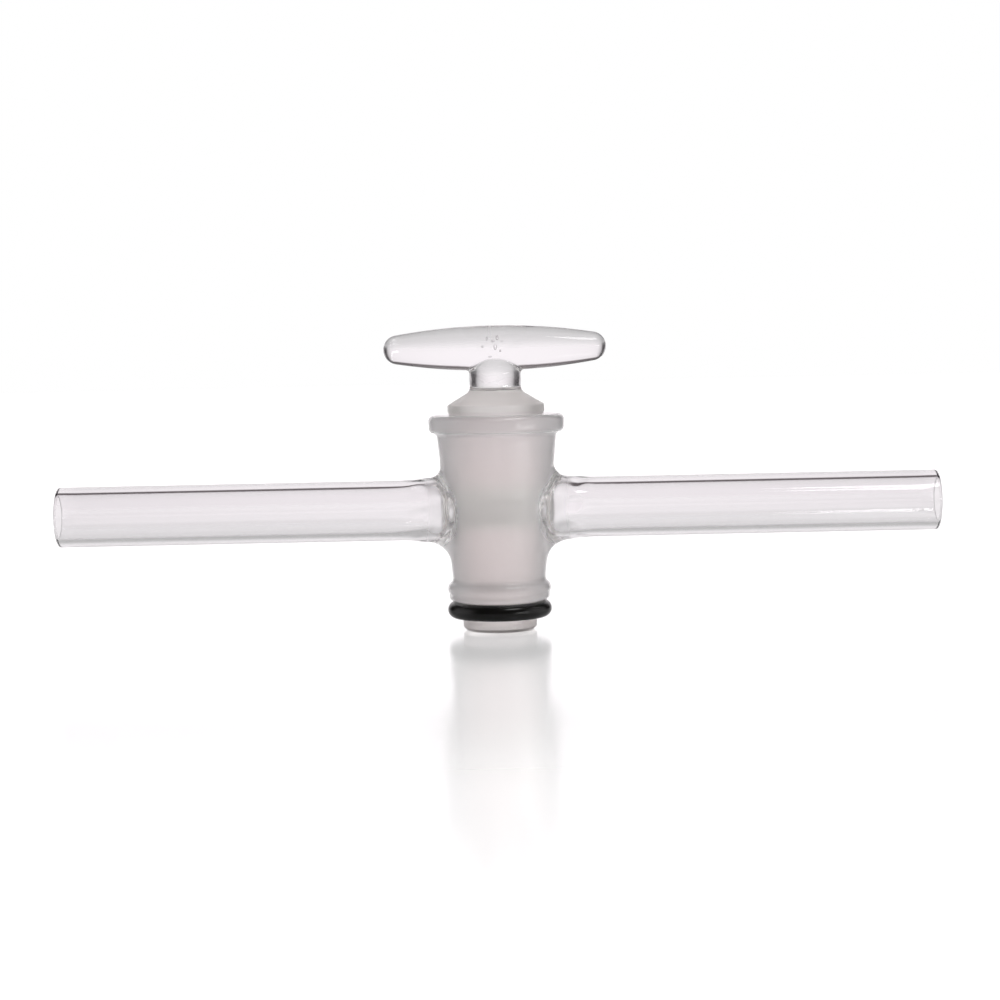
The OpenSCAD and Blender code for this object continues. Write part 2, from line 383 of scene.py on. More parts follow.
def fusedRows():
    # a ball rolls in the corner between tube and barrel, and its radius changes around the tube
    b = barrelSizes
    slope = wallRadius(1) - wallRadius(0)
    arcSteps, wallSteps, rootSteps = 10, 8, 4
    columns = []
    for step, (frameTurn, frameHeight) in enumerate(openFrame):
        around = 2 * pi * step / ringSteps
        mean, change = (b["upperFused"] + b["lowerFused"]) / 2, (b["upperFused"] - b["lowerFused"]) / 2
        radius = mean + change * cos(around)
        y = (b["rootRadius"] + radius) * sin(around)
        z = joint["tubeHeight"] + (b["rootRadius"] + radius) * cos(around)
        reach = wallRadius(z) + radius * sqrt(1 + slope * slope)
        centre = Vector((sqrt(reach * reach - y * y), y, z))
        toTube = Vector((0, -sin(around), -cos(around)))
        toWall = Vector((-centre.x, -centre.y, slope * reach)).normalized()
        column = []
        for k in range(1, rootSteps):
            along = b["rootStart"] + (centre.x - b["rootStart"]) * k / rootSteps
            column.append(aroundTube(rootRadius(along), along, step))
        column += [centre + toTube.slerp(toWall, k / arcSteps) * radius for k in range(arcSteps + 1)]
        touch = column[-1]
        turned, up = atan2(touch.y, touch.x), touch.z
        for k in range(1, wallSteps + 1):
            share = k / wallSteps
            angle, height = turned + (frameTurn - turned) * share, up + (frameHeight - up) * share
            column.append(onTurn(wallRadius(height), angle, height))
        columns.append(column)
    return [list(row) for row in zip(*columns)]


def makeBarrel(clear, ground):
    b = barrelSizes
    bm = bmesh.new()
    turnHalf(bm, barrelOutline(), closed=True)
    cutFrame(bm)
    turn(bm, drawWire(bm, tubeOutline()), (-1, 0, 0), tubeCentre, 2 * pi, ringSteps)
    port = tubeRing(bm, b["funnelStart"], b["portRadius"])
    portRows = passageRun(socketRadius, b["portRadius"], b["funnelStart"], 4)
    growRows(bm, port, portRows + passageRows(socketRadius, b["portRadius"], 12))
    root = tubeRing(bm, b["rootStart"], rootRadius(b["rootStart"]))
    growRows(bm, root, fusedRows())
    closeHalf(bm)
    unsettle(bm, rootDepth, b["unevenSize"])
    piece = finish(bm, "glass_barrel", [clear, ground])
    markGround(piece, inSocket)
    return piece


def rootDepth(place):
    # how far the glass has flowed at a tube's root, most in the funnel and none at the ground cone
    b = barrelSizes
    fromAxis = (place - tubeCentre).yz.length
    rise = (place.xy.length - socketRadius(place.z)) / b["unevenRise"]
    share = min(rise, (b["rootEnd"] - abs(place.x)) / b["unevenFade"], 1.0)
    if share <= 0.01 or fromAxis > b["unevenReach"]:
        return 0
    if fromAxis < b["boreRadius"] + 0.1:
        return share * b["funnelUneven"]
    return share * b["rootUneven"] * min(1, (b["unevenReach"] - fromAxis) / b["unevenEdge"])


def inSocket(place):
    return place.xy.length < socketRadius(place.z) + joint["clearance"] / 2


def markGround(piece, isGround):
    # the ground faces take the second material
    for face in piece.data.polygons:
        corners = [piece.data.vertices[i].co / mm for i in face.vertices]
        if all(isGround(corner) for corner in corners):
            face.material_index = 1


# Key with its cross handle

keySizes = {
    "footBevel": 0.7,
    "footRound": 0.15,
    "bevelRound": 0.2,
    "ringCentreRadius": 8.76,
    "ringHeight": 4.2,
    "grooveRound": 1.69,
    "coneTop": 43.6,
    "shoulderStep": 0.2,
    "stepRound": 0.08,
    "shoulderHeight": 45.15,
    "shoulderRound": 0.35,
    "stemRadius": 5.15,
    "stemFoot": 47.85,
    "groundTop": 48.05,
    "stemFillet": 1.6,
    "stemTop": 51.3,
    "handleHeight": 56.4,
    "handleRadius": 4.5,
    "handleEndRadius": 2.9,
    "handleEnd": 19.3,
    "jointLength": 5.75,  # how far the stem's fillet reaches along the handle
    "jointTurn": 70.0,  # and around it, in degrees from straight down
    "jointRise": 1.1,  # how strongly it leaves the stem upwards
    "endLead": 1.1,  # and meets the handle, towards its ends and at its front and back
    "sideLead": 1.0,
    "frameLength": 7.2,  # the part of the handle that is drawn with the fillet
    "frameTurn": 90.0,
    "uneven": 0.06,  # how far the glass has flowed at the stem
    "unevenSize": 1.6,
    "unevenFrom": 0.4,  # it starts this far over the stem's foot, and is full a rise higher
    "unevenRise": 1.5,
    "unevenEnd": 9.0,  # and it is gone this far out along the handle
    "unevenFade": 4.0,
    "seamPlace": -0.9,
    "seamWidth": 1.3,
    "seamDepth": 0.04,
    "seamRise": 3.0,  # it is full this far over the handle's middle
    "seamBack": 2.0,  # and ends here towards the back
    "bubbles": [  # place, and half the size across, from front to back and up
        ((0.54, -1.2, 58.0), (0.3, 0.22, 0.36)),
        ((-0.34, -1.5, 57.5), (0.34, 0.16, 0.2)),
        ((-1.5, -1.6, 57.9), (0.2, 0.2, 0.28)),
        ((0.1, -0.8, 56.5), (0.3, 0.12, 0.42)),
        ((-2.4, -1.3, 56.6), (0.22, 0.14, 0.18)),
        ((-0.9, -1.3, 54.9), (0.36, 0.13, 0.22)),
        ((1.5, -1.0, 57.4), (0.2, 0.1, 0.14)),
        ((1.1, -1.6, 55.9), (0.18, 0.12, 0.2)),
    ],
}
handleSteps = 72  # steps of a full turn about the handle
handleFrameColumns = 36  # columns and rows of the part drawn with the stem's fillet
handleFrameRows = (turnSteps // 2 - handleFrameColumns) // 2


def keyRadius(height):
    return socketRadius(height) - joint["clearance"]


def handleBow():
    # radius of the bowed outline that is as thick as told in the middle and round at its ends
    k = keySizes
    r, e, x = k["handleRadius"], k["handleEndRadius"], k["handleEnd"]
    return (x * x / (r - e) + r + e) / 2


def handleRadius(along):
    bow = handleBow()
    return keySizes["handleRadius"] - bow + sqrt(bow * bow - along * along)


def onHandle(along, turned):
    # turned is the angle round the handle from straight down
    radius = handleRadius(along)
    return Vector((along, radius * sin(turned), keySizes["handleHeight"] - radius * cos(turned)))


def keyOutline():
    k = keySizes
    bevel = point(keyRadius(k["footBevel"]), k["footBevel"])
    foot = point(bevel.x - k["footBevel"], 0)
    ring = point(k["ringCentreRadius"], k["ringHeight"])
    groove = []
    for side in (-1, 1):
        # where the groove's round meets the cone
        height = ring.z
        for tries in range(30):
            height = ring.z + side * sqrt(k["grooveRound"] ** 2 - (ring.x - keyRadius(height)) ** 2)
        groove.append(height)
    angles = [atan2(h - ring.z, keyRadius(h) - ring.x) * 180 / pi % 360 for h in groove]
    coneTop = point(keyRadius(k["coneTop"]), k["coneTop"])
    shoulderFoot = point(coneTop.x + k["shoulderStep"], k["coneTop"])
    shoulder = point(shoulderFoot.x, k["shoulderHeight"])
    stemFoot, stemTop = point(k["stemRadius"], k["stemFoot"]), point(k["stemRadius"], k["stemTop"])
    points = [point(0, 0)] + between(point(0, 0), foot, 6)
    points += rounded(point(0, 0), foot, bevel, k["footRound"], 3)
    points += rounded(foot, bevel, coneTop, k["bevelRound"], 3)
    points += arc(ring, k["grooveRound"], angles[0], angles[1], 10)
    points += between(points[-1], point(keyRadius(rowHeights[-1]), rowHeights[-1]), 5)
    points += [point(keyRadius(height), height) for height in reversed(rowHeights)]
    points += between(points[-1], coneTop, 7) + [coneTop]
    points += rounded(coneTop, shoulderFoot, shoulder, k["stepRound"], 2)
    points += rounded(shoulderFoot, shoulder, stemFoot, k["shoulderRound"])
    points += rounded(shoulder, stemFoot, stemTop, k["stemFillet"])
    points += between(points[-1], stemTop, 5) + [stemTop]
    return points


def handleOutline():
    k = keySizes
    end, endRadius, bow = k["handleEnd"], k["handleEndRadius"], handleBow()
    meet = end * bow / (bow - endRadius)  # the bow runs into the round end here
    rowLength = k["frameLength"] / handleFrameRows
    alongs = [rowLength * row for row in range(handleFrameRows + 1)]
    alongs += [k["frameLength"] + (meet - k["frameLength"]) * step / 14 for step in range(1, 15)]
    points = [point(along, handleRadius(along)) for along in alongs]
    tipFrom = atan2(points[-1].z, meet - end) * 180 / pi
    points += arc(point(end, 0), endRadius, tipFrom, 0, 14)[1:]
    for p in points:
        p.z = k["handleHeight"] - p.z
    return points


def stemJointRows():
    # from the stem's top ring, an easy fillet up to the handle, then out to the frame in the handle
    k = keySizes
    filletSteps, outSteps = 12, 6
    rowLength = k["frameLength"] / handleFrameRows
    side = handleFrameColumns // 2
    turnStep = 2 * pi / handleSteps
    frameEdge = [(rowLength * row, -side) for row in range(handleFrameRows + 1)]
    frameEdge += [(k["frameLength"], column) for column in range(-side + 1, side + 1)]
    frameEdge += [(rowLength * row, side) for row in range(handleFrameRows - 1, -1, -1)]
    columns = []
    for step, (along, column) in enumerate(frameEdge):
        angle = -pi / 2 + step * columnTurn
        low = onTurn(k["stemRadius"], angle, k["stemTop"])
        touchAlong, touchTurn = k["jointLength"] * cos(angle), radians(k["jointTurn"]) * sin(angle)
        high = onHandle(touchAlong, touchTurn)
        further = onHandle(touchAlong * 1.02, touchTurn * 1.02)  # a little on, for the direction
        away = (further - high).normalized()
        span = (high - low).length
        rise = Vector((0, 0, 1)) * span * k["jointRise"]
        lead = away * span * (k["endLead"] if abs(sin(angle)) < 0.5 else k["sideLead"])
        places = []
        for n in range(1, filletSteps + 1):
            t = n / filletSteps
            places.append(
                low * (2 * t ** 3 - 3 * t ** 2 + 1) + rise * (t ** 3 - 2 * t ** 2 + t)
                + high * (3 * t ** 2 - 2 * t ** 3) + lead * (t ** 3 - t ** 2)
            )
        for n in range(1, outSteps + 1):
            share = n / outSteps
            places.append(onHandle(
                touchAlong + (along - touchAlong) * share,
                touchTurn + (column * turnStep - touchTurn) * share,
            ))
        columns.append(places)
    return [list(row) for row in zip(*columns)]


def makeKey(clear, ground):
    k = keySizes
    bm = bmesh.new()
    turnHalf(bm, keyOutline())
    cutFrame(bm)
    passage = joint["passageRadius"]
    drawWire(bm, [aroundTube(passage, 0, step) for step in range(ringSteps)], closed=True)
    rows = passageRun(keyRadius, passage, 0, 6) + passageRows(keyRadius, passage, 12)
    growRows(bm, tubeRing(bm, 0, passage), rows)
    handleCentre = (0, 0, k["handleHeight"])
    turn(bm, drawWire(bm, handleOutline()), (1, 0, 0), handleCentre, 2 * pi, handleSteps)
    overStem = []
    for face in bm.faces:
        middle = face.calc_center_median()
        turned = atan2(abs(middle.y), k["handleHeight"] - middle.z)
        near = middle.z > k["stemTop"] and middle.x < k["frameLength"]
        if near and turned < radians(k["frameTurn"]):
            overStem.append(face)
    bmesh.ops.delete(bm, geom=overStem, context="FACES")
    stemRing = [
        v for v in bm.verts
        if abs(v.co.z - k["stemTop"]) < sameWithin and abs(v.co.xy.length - k["stemRadius"]) < sameWithin
    ]
    stemRing.sort(key=lambda v: atan2(v.co.y, v.co.x))
    growRows(bm, stemRing, stemJointRows(), closed=False)
    closeHalf(bm)
    unsettle(bm, stemDepth, k["unevenSize"])
    pressSeam(bm)
    addBubbles(bm)
    piece = finish(bm, "glass_key", [clear, ground])
    markGround(piece, onCone)
    return piece


def onCone(place):
    # all the skin from the foot to the shoulder's top, but not the wall of the passage
    fromAxis = (place - tubeCentre).yz.length
    return place.z < keySizes["groundTop"] and fromAxis > joint["passageRadius"] + sameWithin


def stemDepth(place):
    k = keySizes
    rise = (place.z - k["stemFoot"] - k["unevenFrom"]) / k["unevenRise"]
    share = min(rise, (k["unevenEnd"] - abs(place.x)) / k["unevenFade"], 1.0)
    return k["uneven"] * max(share, 0)


def pressSeam(bm):
    # the shallow fold left over the top of the handle where its glass was joined
    k = keySizes

    def fold(place):
        off, lift = (place.x - k["seamPlace"]) / k["seamWidth"], place.z - k["handleHeight"]
        if abs(off) > 1 or lift < 0 or place.y > k["seamBack"]:
            return 0
        return -k["seamDepth"] * cos(off * pi / 2) ** 2 * min(1, lift / k["seamRise"])

    moveAlongNormals(bm, fold)


def addBubbles(bm):
    # air caught where the handle was melted on; its skin faces into the bubble
    for place, halves in keySizes["bubbles"]:
        spot = Matrix.Translation(place) @ Matrix.Diagonal((*halves, 1))
        made = bmesh.ops.create_icosphere(bm, subdivisions=3, radius=1, matrix=spot)
        skin = {face for v in made["verts"] for face in v.link_faces}
        bmesh.ops.reverse_faces(bm, faces=list(skin))


# Retaining ring

ringSizes = {
    "sectionSteps": 40,
    "steps": 160,
}


def makeRing(rubber):
    r = ringSizes
    section = (ringHigh.z - ringLow.z) / 2
    centre = point(ringHigh.x - section, (ringHigh.z + ringLow.z) / 2)
    bm = bmesh.new()
    wire = drawWire(bm, arc(centre, section, 0, 360, r["sectionSteps"])[:-1], closed=True)
    turn(bm, wire, (0, 0, 1), (0, 0, 0), 2 * pi, r["steps"])
    bmesh.ops.remove_doubles(bm, verts=bm.verts, dist=mergeWithin)
    bmesh.ops.recalc_face_normals(bm, faces=bm.faces)
    return finish(bm, "rubber_ring", [rubber])


# Materials

def newMaterial(name):
    material = bpy.data.materials.new(name)
    material.use_nodes = True
    material.node_tree.nodes.clear()
    return material, material.node_tree.nodes


def plug(start, leaving, end, entering):
    start.id_data.links.new(start.outputs[leaving], end.inputs[entering])


def newNode(nodes, kind, values=None):
    node = nodes.new("ShaderNode" + kind)
    for name, value in (values or {}).items():
        node.inputs[name].default_value = value
    return node


def mathNode(nodes, operation, second=None):
    node = newNode(nodes, "Math")
    node.operation = operation
    if second is not None:
        node.inputs[1].default_value = second
    return node


def lengthNode(nodes):
    node = newNode(nodes, "VectorMath")
    node.operation = "LENGTH"
    return node


def noiseNode(nodes, scale, detail):
    return newNode(nodes, "TexNoise", {"Scale": scale, "Detail": detail})


def groupNode(nodes, group):
    node = newNode(nodes, "Group")
    node.node_tree = group
    return node


def easeNode(nodes, start, end, low=0.0, high=1.0):
    # eases from low at start to high at end
    node = newNode(nodes, "MapRange", {"From Min": start, "From Max": end, "To Min": low, "To Max": high})
    node.interpolation_type = "SMOOTHSTEP"
    return node


def placeNode(nodes, start, end, low=0.0, high=1.0):
    # the same, between two places in millimetres
    return easeNode(nodes, start * mm, end * mm, low, high)


def spreadNode(nodes, level, spread):
    # brings a mark of 0 to 1 to a level, and a spread under and over it
    return newNode(nodes, "MapRange", {"To Min": level - spread, "To Max": level + spread})


def rampNode(nodes, stops):
    # each stop is a place and a grey level or a colour
    node = newNode(nodes, "ValToRGB")
    elements = node.color_ramp.elements
    while len(elements) < len(stops):
        elements.new(0.5)
    for element, (place, level) in zip(elements, stops):
        element.position = place
        element.color = level if isinstance(level, tuple) else (level, level, level, 1)
    return node


marking = {
    "streakScale": 1500.0,  # for places in metres
    "streakDetail": 3.0,
    "grainScale": 3500.0,
    "grainDetail": 2.0,
}


def makeTurnedMarks():
    # Streaks run round the upright axis as grinding leaves them, Grain is fine and even;
    # Distance is how far from the upright axis a place is, TubeDistance how far from the tubes'
    # axis and Aside how far from the middle towards either tube; Along and Height are the place
    # along the tubes and over the foot, all in metres
    group = bpy.data.node_groups.new("turnedMarks", "ShaderNodeTree")
    for name in ("Streaks", "Grain", "Distance", "TubeDistance", "Aside", "Along", "Height"):
        group.interface.new_socket(name, in_out="OUTPUT", socket_type="NodeSocketFloat")
    nodes = group.nodes
    where = newNode(nodes, "TexCoord")
    split = newNode(nodes, "SeparateXYZ")
    flat = newNode(nodes, "CombineXYZ")
    across = newNode(nodes, "CombineXYZ")
    turned = newNode(nodes, "CombineXYZ")
    distance, tubeDistance = lengthNode(nodes), lengthNode(nodes)
    below = mathNode(nodes, "SUBTRACT", second=joint["tubeHeight"] * mm)
    aside = mathNode(nodes, "ABSOLUTE")
    streaks = noiseNode(nodes, marking["streakScale"], marking["streakDetail"])
    grain = noiseNode(nodes, marking["grainScale"], marking["grainDetail"])
    output = nodes.new("NodeGroupOutput")
    plug(where, "Object", split, 0)
    plug(split, "X", flat, "X")
    plug(split, "Y", flat, "Y")
    plug(flat, 0, distance, 0)
    plug(split, "Z", below, 0)
    plug(split, "Y", across, "Y")
    plug(below, 0, across, "Z")
    plug(across, 0, tubeDistance, 0)
    plug(distance, "Value", turned, "X")
    plug(split, "Z", turned, "Z")
    plug(turned, 0, streaks, "Vector")
    plug(where, "Object", grain, "Vector")
    plug(split, "X", aside, 0)
    plug(streaks, "Fac", output, "Streaks")
    plug(grain, "Fac", output, "Grain")
    plug(distance, "Value", output, "Distance")
    plug(tubeDistance, "Value", output, "TubeDistance")
    plug(aside, 0, output, "Aside")
    plug(split, "X", output, "Along")
    plug(split, "Z", output, "Height")
    return group


# lengths in millimetres
glass = {
    "ior": 1.473,
    "clearColour": (0.968, 0.962, 0.968, 1),
    "shadowColour": (0.93, 0.93, 0.93, 1),
    "wallHaze": 0.40,  # roughness of the barrel's outer wall, which isn't polished
    "wallSpread": 0.08,
    "rootHaze": 0.08,  # the flame has cleared it at the tubes' roots
    "rootFrom": 7.0,  # it clears between these, away from the middle
    "rootTo": 9.2,
    "rootOuter": 8.2,  # and between these, towards the tubes' axis
    "rootInner": 6.4,
    "wallCoat": 1.0,  # the frosted wall keeps a bright skin
    "coatRoughness": 0.06,
    "funnelHaze": 0.30,  # roughness inside the funnels and ports
    "funnelRadius": 4.6,  # as far from the tubes' axis
    "funnelEdge": 0.4,
    "hazeTo": 13.8,  # all haze fades between these, away from the upright axis
    "hazeEnd": 16.0,
    "seamHaze": 0.32,  # roughness of the seam over the middle of the handle
    "seamReach": 1.1,  # to either side
    "seamFoot": 56.8,  # the height it starts from
    "seamRise": 2.0,
    "groundColour": (0.94, 0.92, 0.915, 1),
    "groundRoughness": 0.44,
    "groundSpread": 0.06,
    "groundThrough": 0.80,  # the share of light that goes through a ground face
}
# painted light and shade on the ground faces: tones lighter or darker by height where the light through
# the glass falls so, with the flange, shoulder, bead and the passage's band darker, two darker lines at
# the passage's edges and a lighter foot; and their places over the key's height, as shares of toneHeight
paintedTones = {
    "foot": (1.0, 0.97, 0.96, 1),
    "bead": (0.93, 0.905, 0.905, 1),
    "overBead": (0.94, 0.915, 0.915, 1),
    "cone": (0.99, 0.955, 0.955, 1),
    "passage": (0.90, 0.905, 0.89, 1),
    "passageLine": (0.84, 0.84, 0.83, 1),
    "neck": (0.98, 0.95, 0.955, 1),
    "flange": (0.88, 0.86, 0.865, 1),
    "shoulder": (0.90, 0.90, 0.885, 1),
}
paintedToneStops = [
    (0.0, "foot"), (0.06, "foot"), (0.10, "bead"), (0.19, "overBead"), (0.24, "cone"), (0.41, "cone"),
    (0.45, "passage"), (0.461, "passage"), (0.466, "passageLine"), (0.471, "passage"),
    (0.502, "passage"), (0.507, "passageLine"), (0.512, "passage"), (0.575, "passage"),
    (0.63, "cone"), (0.80, "neck"), (0.825, "flange"), (0.893, "flange"), (0.91, "shoulder"),
    (1.0, "shoulder"),
]
toneHeight = 48.5
# how much of their roughness they have, over the same height
roughStops = [(0.0, 0.68), (0.06, 0.68), (0.10, 1.0), (0.86, 1.0), (0.905, 0.8), (1.0, 0.8)]
streakStops = [(0.3, 0.96), (0.7, 1.0)]


def makeBodyGlass():
    # hazy around the upright axis, clear at the tubes' roots and along the tubes
    g = glass
    material, nodes = newMaterial("bodyGlass")
    shader = newNode(nodes, "BsdfPrincipled", {
        "Base Color": g["clearColour"], "Coat Roughness": g["coatRoughness"],
    })
    marks = groupNode(nodes, turnedMarks)
    near = placeNode(nodes, g["hazeEnd"], g["hazeTo"])
    out = placeNode(nodes, g["rootFrom"], g["rootTo"])
    around = placeNode(nodes, g["rootOuter"], g["rootInner"])
    inside = placeNode(nodes, g["funnelRadius"] + g["funnelEdge"], g["funnelRadius"])
    outer = placeNode(nodes, g["funnelRadius"], g["funnelRadius"] + g["funnelEdge"])
    root, level = mathNode(nodes, "MULTIPLY"), mathNode(nodes, "MULTIPLY")
    uneven = spreadNode(nodes, g["wallHaze"], g["wallSpread"])
    wall = newNode(nodes, "Mix", {"B": g["rootHaze"]})
    whole = newNode(nodes, "Mix", {"B": g["funnelHaze"]})
    # only frosted glass has the skin
    frosted = easeNode(nodes, g["rootHaze"] * 2, g["wallHaze"] - g["wallSpread"], 0.0, g["wallCoat"])
    coat = mathNode(nodes, "MULTIPLY")
    plug(marks, "Distance", near, "Value")
    plug(marks, "Aside", out, "Value")
    plug(marks, "TubeDistance", around, "Value")
    plug(marks, "TubeDistance", inside, "Value")
    plug(marks, "Streaks", uneven, "Value")
    plug(out, "Result", root, 0)
    plug(around, "Result", root, 1)
    plug(root, 0, wall, "Factor")
    plug(uneven, "Result", wall, "A")
    plug(wall, "Result", whole, "A")
    plug(inside, "Result", whole, "Factor")
    plug(near, "Result", level, 0)
    plug(whole, "Result", level, 1)
    plug(level, 0, shader, "Roughness")
    plug(level, 0, frosted, "Value")
    plug(marks, "TubeDistance", outer, "Value")
    plug(frosted, "Result", coat, 0)
    plug(outer, "Result", coat, 1)
    plug(coat, 0, shader, "Coat Weight")
    return glassEnding(material, nodes, shader, 1.0)


def makeHandleGlass():
    # clear, but for the fine bubbles of the seam over the middle of the handle
    g, seam = glass, keySizes["seamPlace"]
    material, nodes = newMaterial("handleGlass")
    shader = newNode(nodes, "BsdfPrincipled", {"Base Color": g["clearColour"]})
    marks = groupNode(nodes, turnedMarks)
    left = placeNode(nodes, seam - g["seamReach"], seam, 0.0, g["seamHaze"])
    right = placeNode(nodes, seam + g["seamReach"], seam)
    up = placeNode(nodes, g["seamFoot"], g["seamFoot"] + g["seamRise"])
    across, level = mathNode(nodes, "MULTIPLY"), mathNode(nodes, "MULTIPLY")
    plug(marks, "Along", left, "Value")
    plug(marks, "Along", right, "Value")
    plug(marks, "Height", up, "Value")
    plug(left, "Result", across, 0)
    plug(right, "Result", across, 1)
    plug(across, 0, level, 0)
    plug(up, "Result", level, 1)
    plug(level, 0, shader, "Roughness")
    return glassEnding(material, nodes, shader, 1.0)


def makeGroundGlass():
    # white from grinding, with painted light and shade in its tone over the height, and its roughness
    # changing over the height
    g = glass
    material, nodes = newMaterial("groundGlass")
    shader = newNode(nodes, "BsdfPrincipled")
    marks = groupNode(nodes, turnedMarks)
    height = newNode(nodes, "MapRange", {"From Max": toneHeight * mm})
    # painted light and shade: the ground faces lighter or darker by height
    paintedTone = rampNode(nodes, [(place, paintedTones[name]) for place, name in paintedToneStops])
    streaks, worn = rampNode(nodes, streakStops), rampNode(nodes, roughStops)
    marked, base = newNode(nodes, "Mix"), newNode(nodes, "Mix")
    for mix in (marked, base):
        mix.data_type = "RGBA"
        mix.blend_type = "MULTIPLY"
        mix.inputs["Factor"].default_value = 1.0
    base.inputs["A"].default_value = g["groundColour"]
    rough = spreadNode(nodes, g["groundRoughness"], g["groundSpread"])
    level = mathNode(nodes, "MULTIPLY")
    plug(marks, "Height", height, "Value")
    plug(height, "Result", paintedTone, "Fac")
    plug(marks, "Streaks", streaks, "Fac")
    plug(paintedTone, "Color", marked, "A")
    plug(streaks, "Color", marked, "B")
    plug(marked, "Result", base, "B")
    plug(base, "Result", shader, "Base Color")
    plug(marks, "Grain", rough, "Value")
    plug(height, "Result", worn, "Fac")
    plug(rough, "Result", level, 0)
    plug(worn, "Color", level, 1)
    plug(level, 0, shader, "Roughness")
    return glassEnding(material, nodes, shader, g["groundThrough"])


def glassEnding(material, nodes, shader, through):
    # lamps shine through the glass, a little weakened
    shader.inputs["IOR"].default_value = glass["ior"]
    shader.inputs["Transmission Weight"].default_value = through
    shade = newNode(nodes, "BsdfTransparent", {"Color": glass["shadowColour"]})
    path = newNode(nodes, "LightPath")
    mix = newNode(nodes, "MixShader")
    output = newNode(nodes, "OutputMaterial")
    plug(path, "Is Shadow Ray", mix, "Fac")
    plug(shader, 0, mix, 1)
    plug(shade, 0, mix, 2)
    plug(mix, 0, output, "Surface")
    return material


rubber = {
    "colour": (0.0035, 0.0035, 0.003, 1),
    "roughness": 0.2,
    "spread": 0.06,
    "shine": 0.28,
}


def makeRubber():
    material, nodes = newMaterial("blackRubber")
    shader = newNode(nodes, "BsdfPrincipled", {
        "Base Color": rubber["colour"], "Specular IOR Level": rubber["shine"],
    })
    marks = groupNode(nodes, turnedMarks)
    rough = spreadNode(nodes, rubber["roughness"], rubber["spread"])
    plug(marks, "Grain", rough, "Value")
    plug(rough, "Result", shader, "Roughness")
    output = newNode(nodes, "OutputMaterial")
    plug(shader, 0, output, "Surface")
    return material


# Stage: floor, surroundings, lamps and camera; distances in metres, the camera's in millimetres

stage = {
    "floorSize": 6.0,
    "floorColour": (0.34, 0.335, 0.34, 1),
    "floorRoughness": 0.15,
    "floorIor": 2.3,
    "floorCoat": 0.5,
    "eyeLift": 0.46,  # white added to the floor for the eye, and more of it further out
    "eyeLiftOut": 0.60,
    "eyeFrom": 0.10,  # how far to the front or back it starts to be more, and is most
    "eyeTo": 0.17,
    "glassLift": 0.20,  # and for what is seen in or through the glass
    "flagNear": 0.2,  # how far out on the floor the flags' painted shade starts, and where it is full
    "flagFar": 0.5,
    "plainLight": (0.95, 0.955, 0.945, 1),  # what the surroundings give to plain surfaces
    "whiteTo": 0.60,  # sine of the height at which the white backdrop starts to end
    "whiteEnd": 0.72,
    "mirrorTo": 0.40,  # the same for what a surface mirrors
    "mirrorEnd": 0.70,
    "mirrorFront": -0.75,  # the side the camera is on stays dark in a mirror
    "mirrorSide": -0.2,
    "backdrop": (1.0, 0.957, 0.982, 1),  # as glass shows it
    "ceiling": (0.11, 0.09, 0.095, 1),
    "flagDark": (0.02, 0.015, 0.018, 1),
    "nearLift": 0.12,  # painted light: the floor behind and before the object, as glass shows it, lies brighter by added white
    "nearFrom": 0.014,  # it grows between these two distances to the front or back
    "nearTo": 0.03,
    "nearEnd": 0.06,  # and fades between these two
    "nearGone": 0.16,
}
# the white backdrop is broken by four dark flags, 45 degrees off the main axes;
# stops over half of 1 + cos(4 * bearing), which is 0 at a flag's middle
flagStops = [(0.02, 0.0), (0.12, 0.10), (0.22, 0.38), (0.42, 0.66), (0.70, 0.88), (1.0, 1.0)]


def makeFlagMask():
    # 1 towards the white parts of the backdrop and 0 towards its dark flags, by bearing
    group = bpy.data.node_groups.new("flagMask", "ShaderNodeTree")
    group.interface.new_socket("Place", in_out="INPUT", socket_type="NodeSocketVector")
    group.interface.new_socket("White", in_out="OUTPUT", socket_type="NodeSocketFloat")
    nodes = group.nodes
    place, output = nodes.new("NodeGroupInput"), nodes.new("NodeGroupOutput")
    split = newNode(nodes, "SeparateXYZ")
    bearing = mathNode(nodes, "ARCTAN2")
    fourfold = mathNode(nodes, "MULTIPLY", second=4.0)
    wave = mathNode(nodes, "COSINE")
    half = newNode(nodes, "MapRange", {"From Min": -1.0})
    flags = rampNode(nodes, flagStops)
    plug(place, "Place", split, 0)
    plug(split, "X", bearing, 0)
    plug(split, "Y", bearing, 1)
    plug(bearing, 0, fourfold, 0)
    plug(fourfold, 0, wave, 0)
    plug(wave, 0, half, "Value")
    plug(half, "Result", flags, "Fac")
    plug(flags, "Color", output, "White")
    return group


def seenByGlass(nodes):
    # 1 for a ray that a surface mirrors or lets through
    path = newNode(nodes, "LightPath")
    either = mathNode(nodes, "MAXIMUM")
    plug(path, "Is Glossy Ray", either, 0)
    plug(path, "Is Transmission Ray", either, 1)
    return path, either


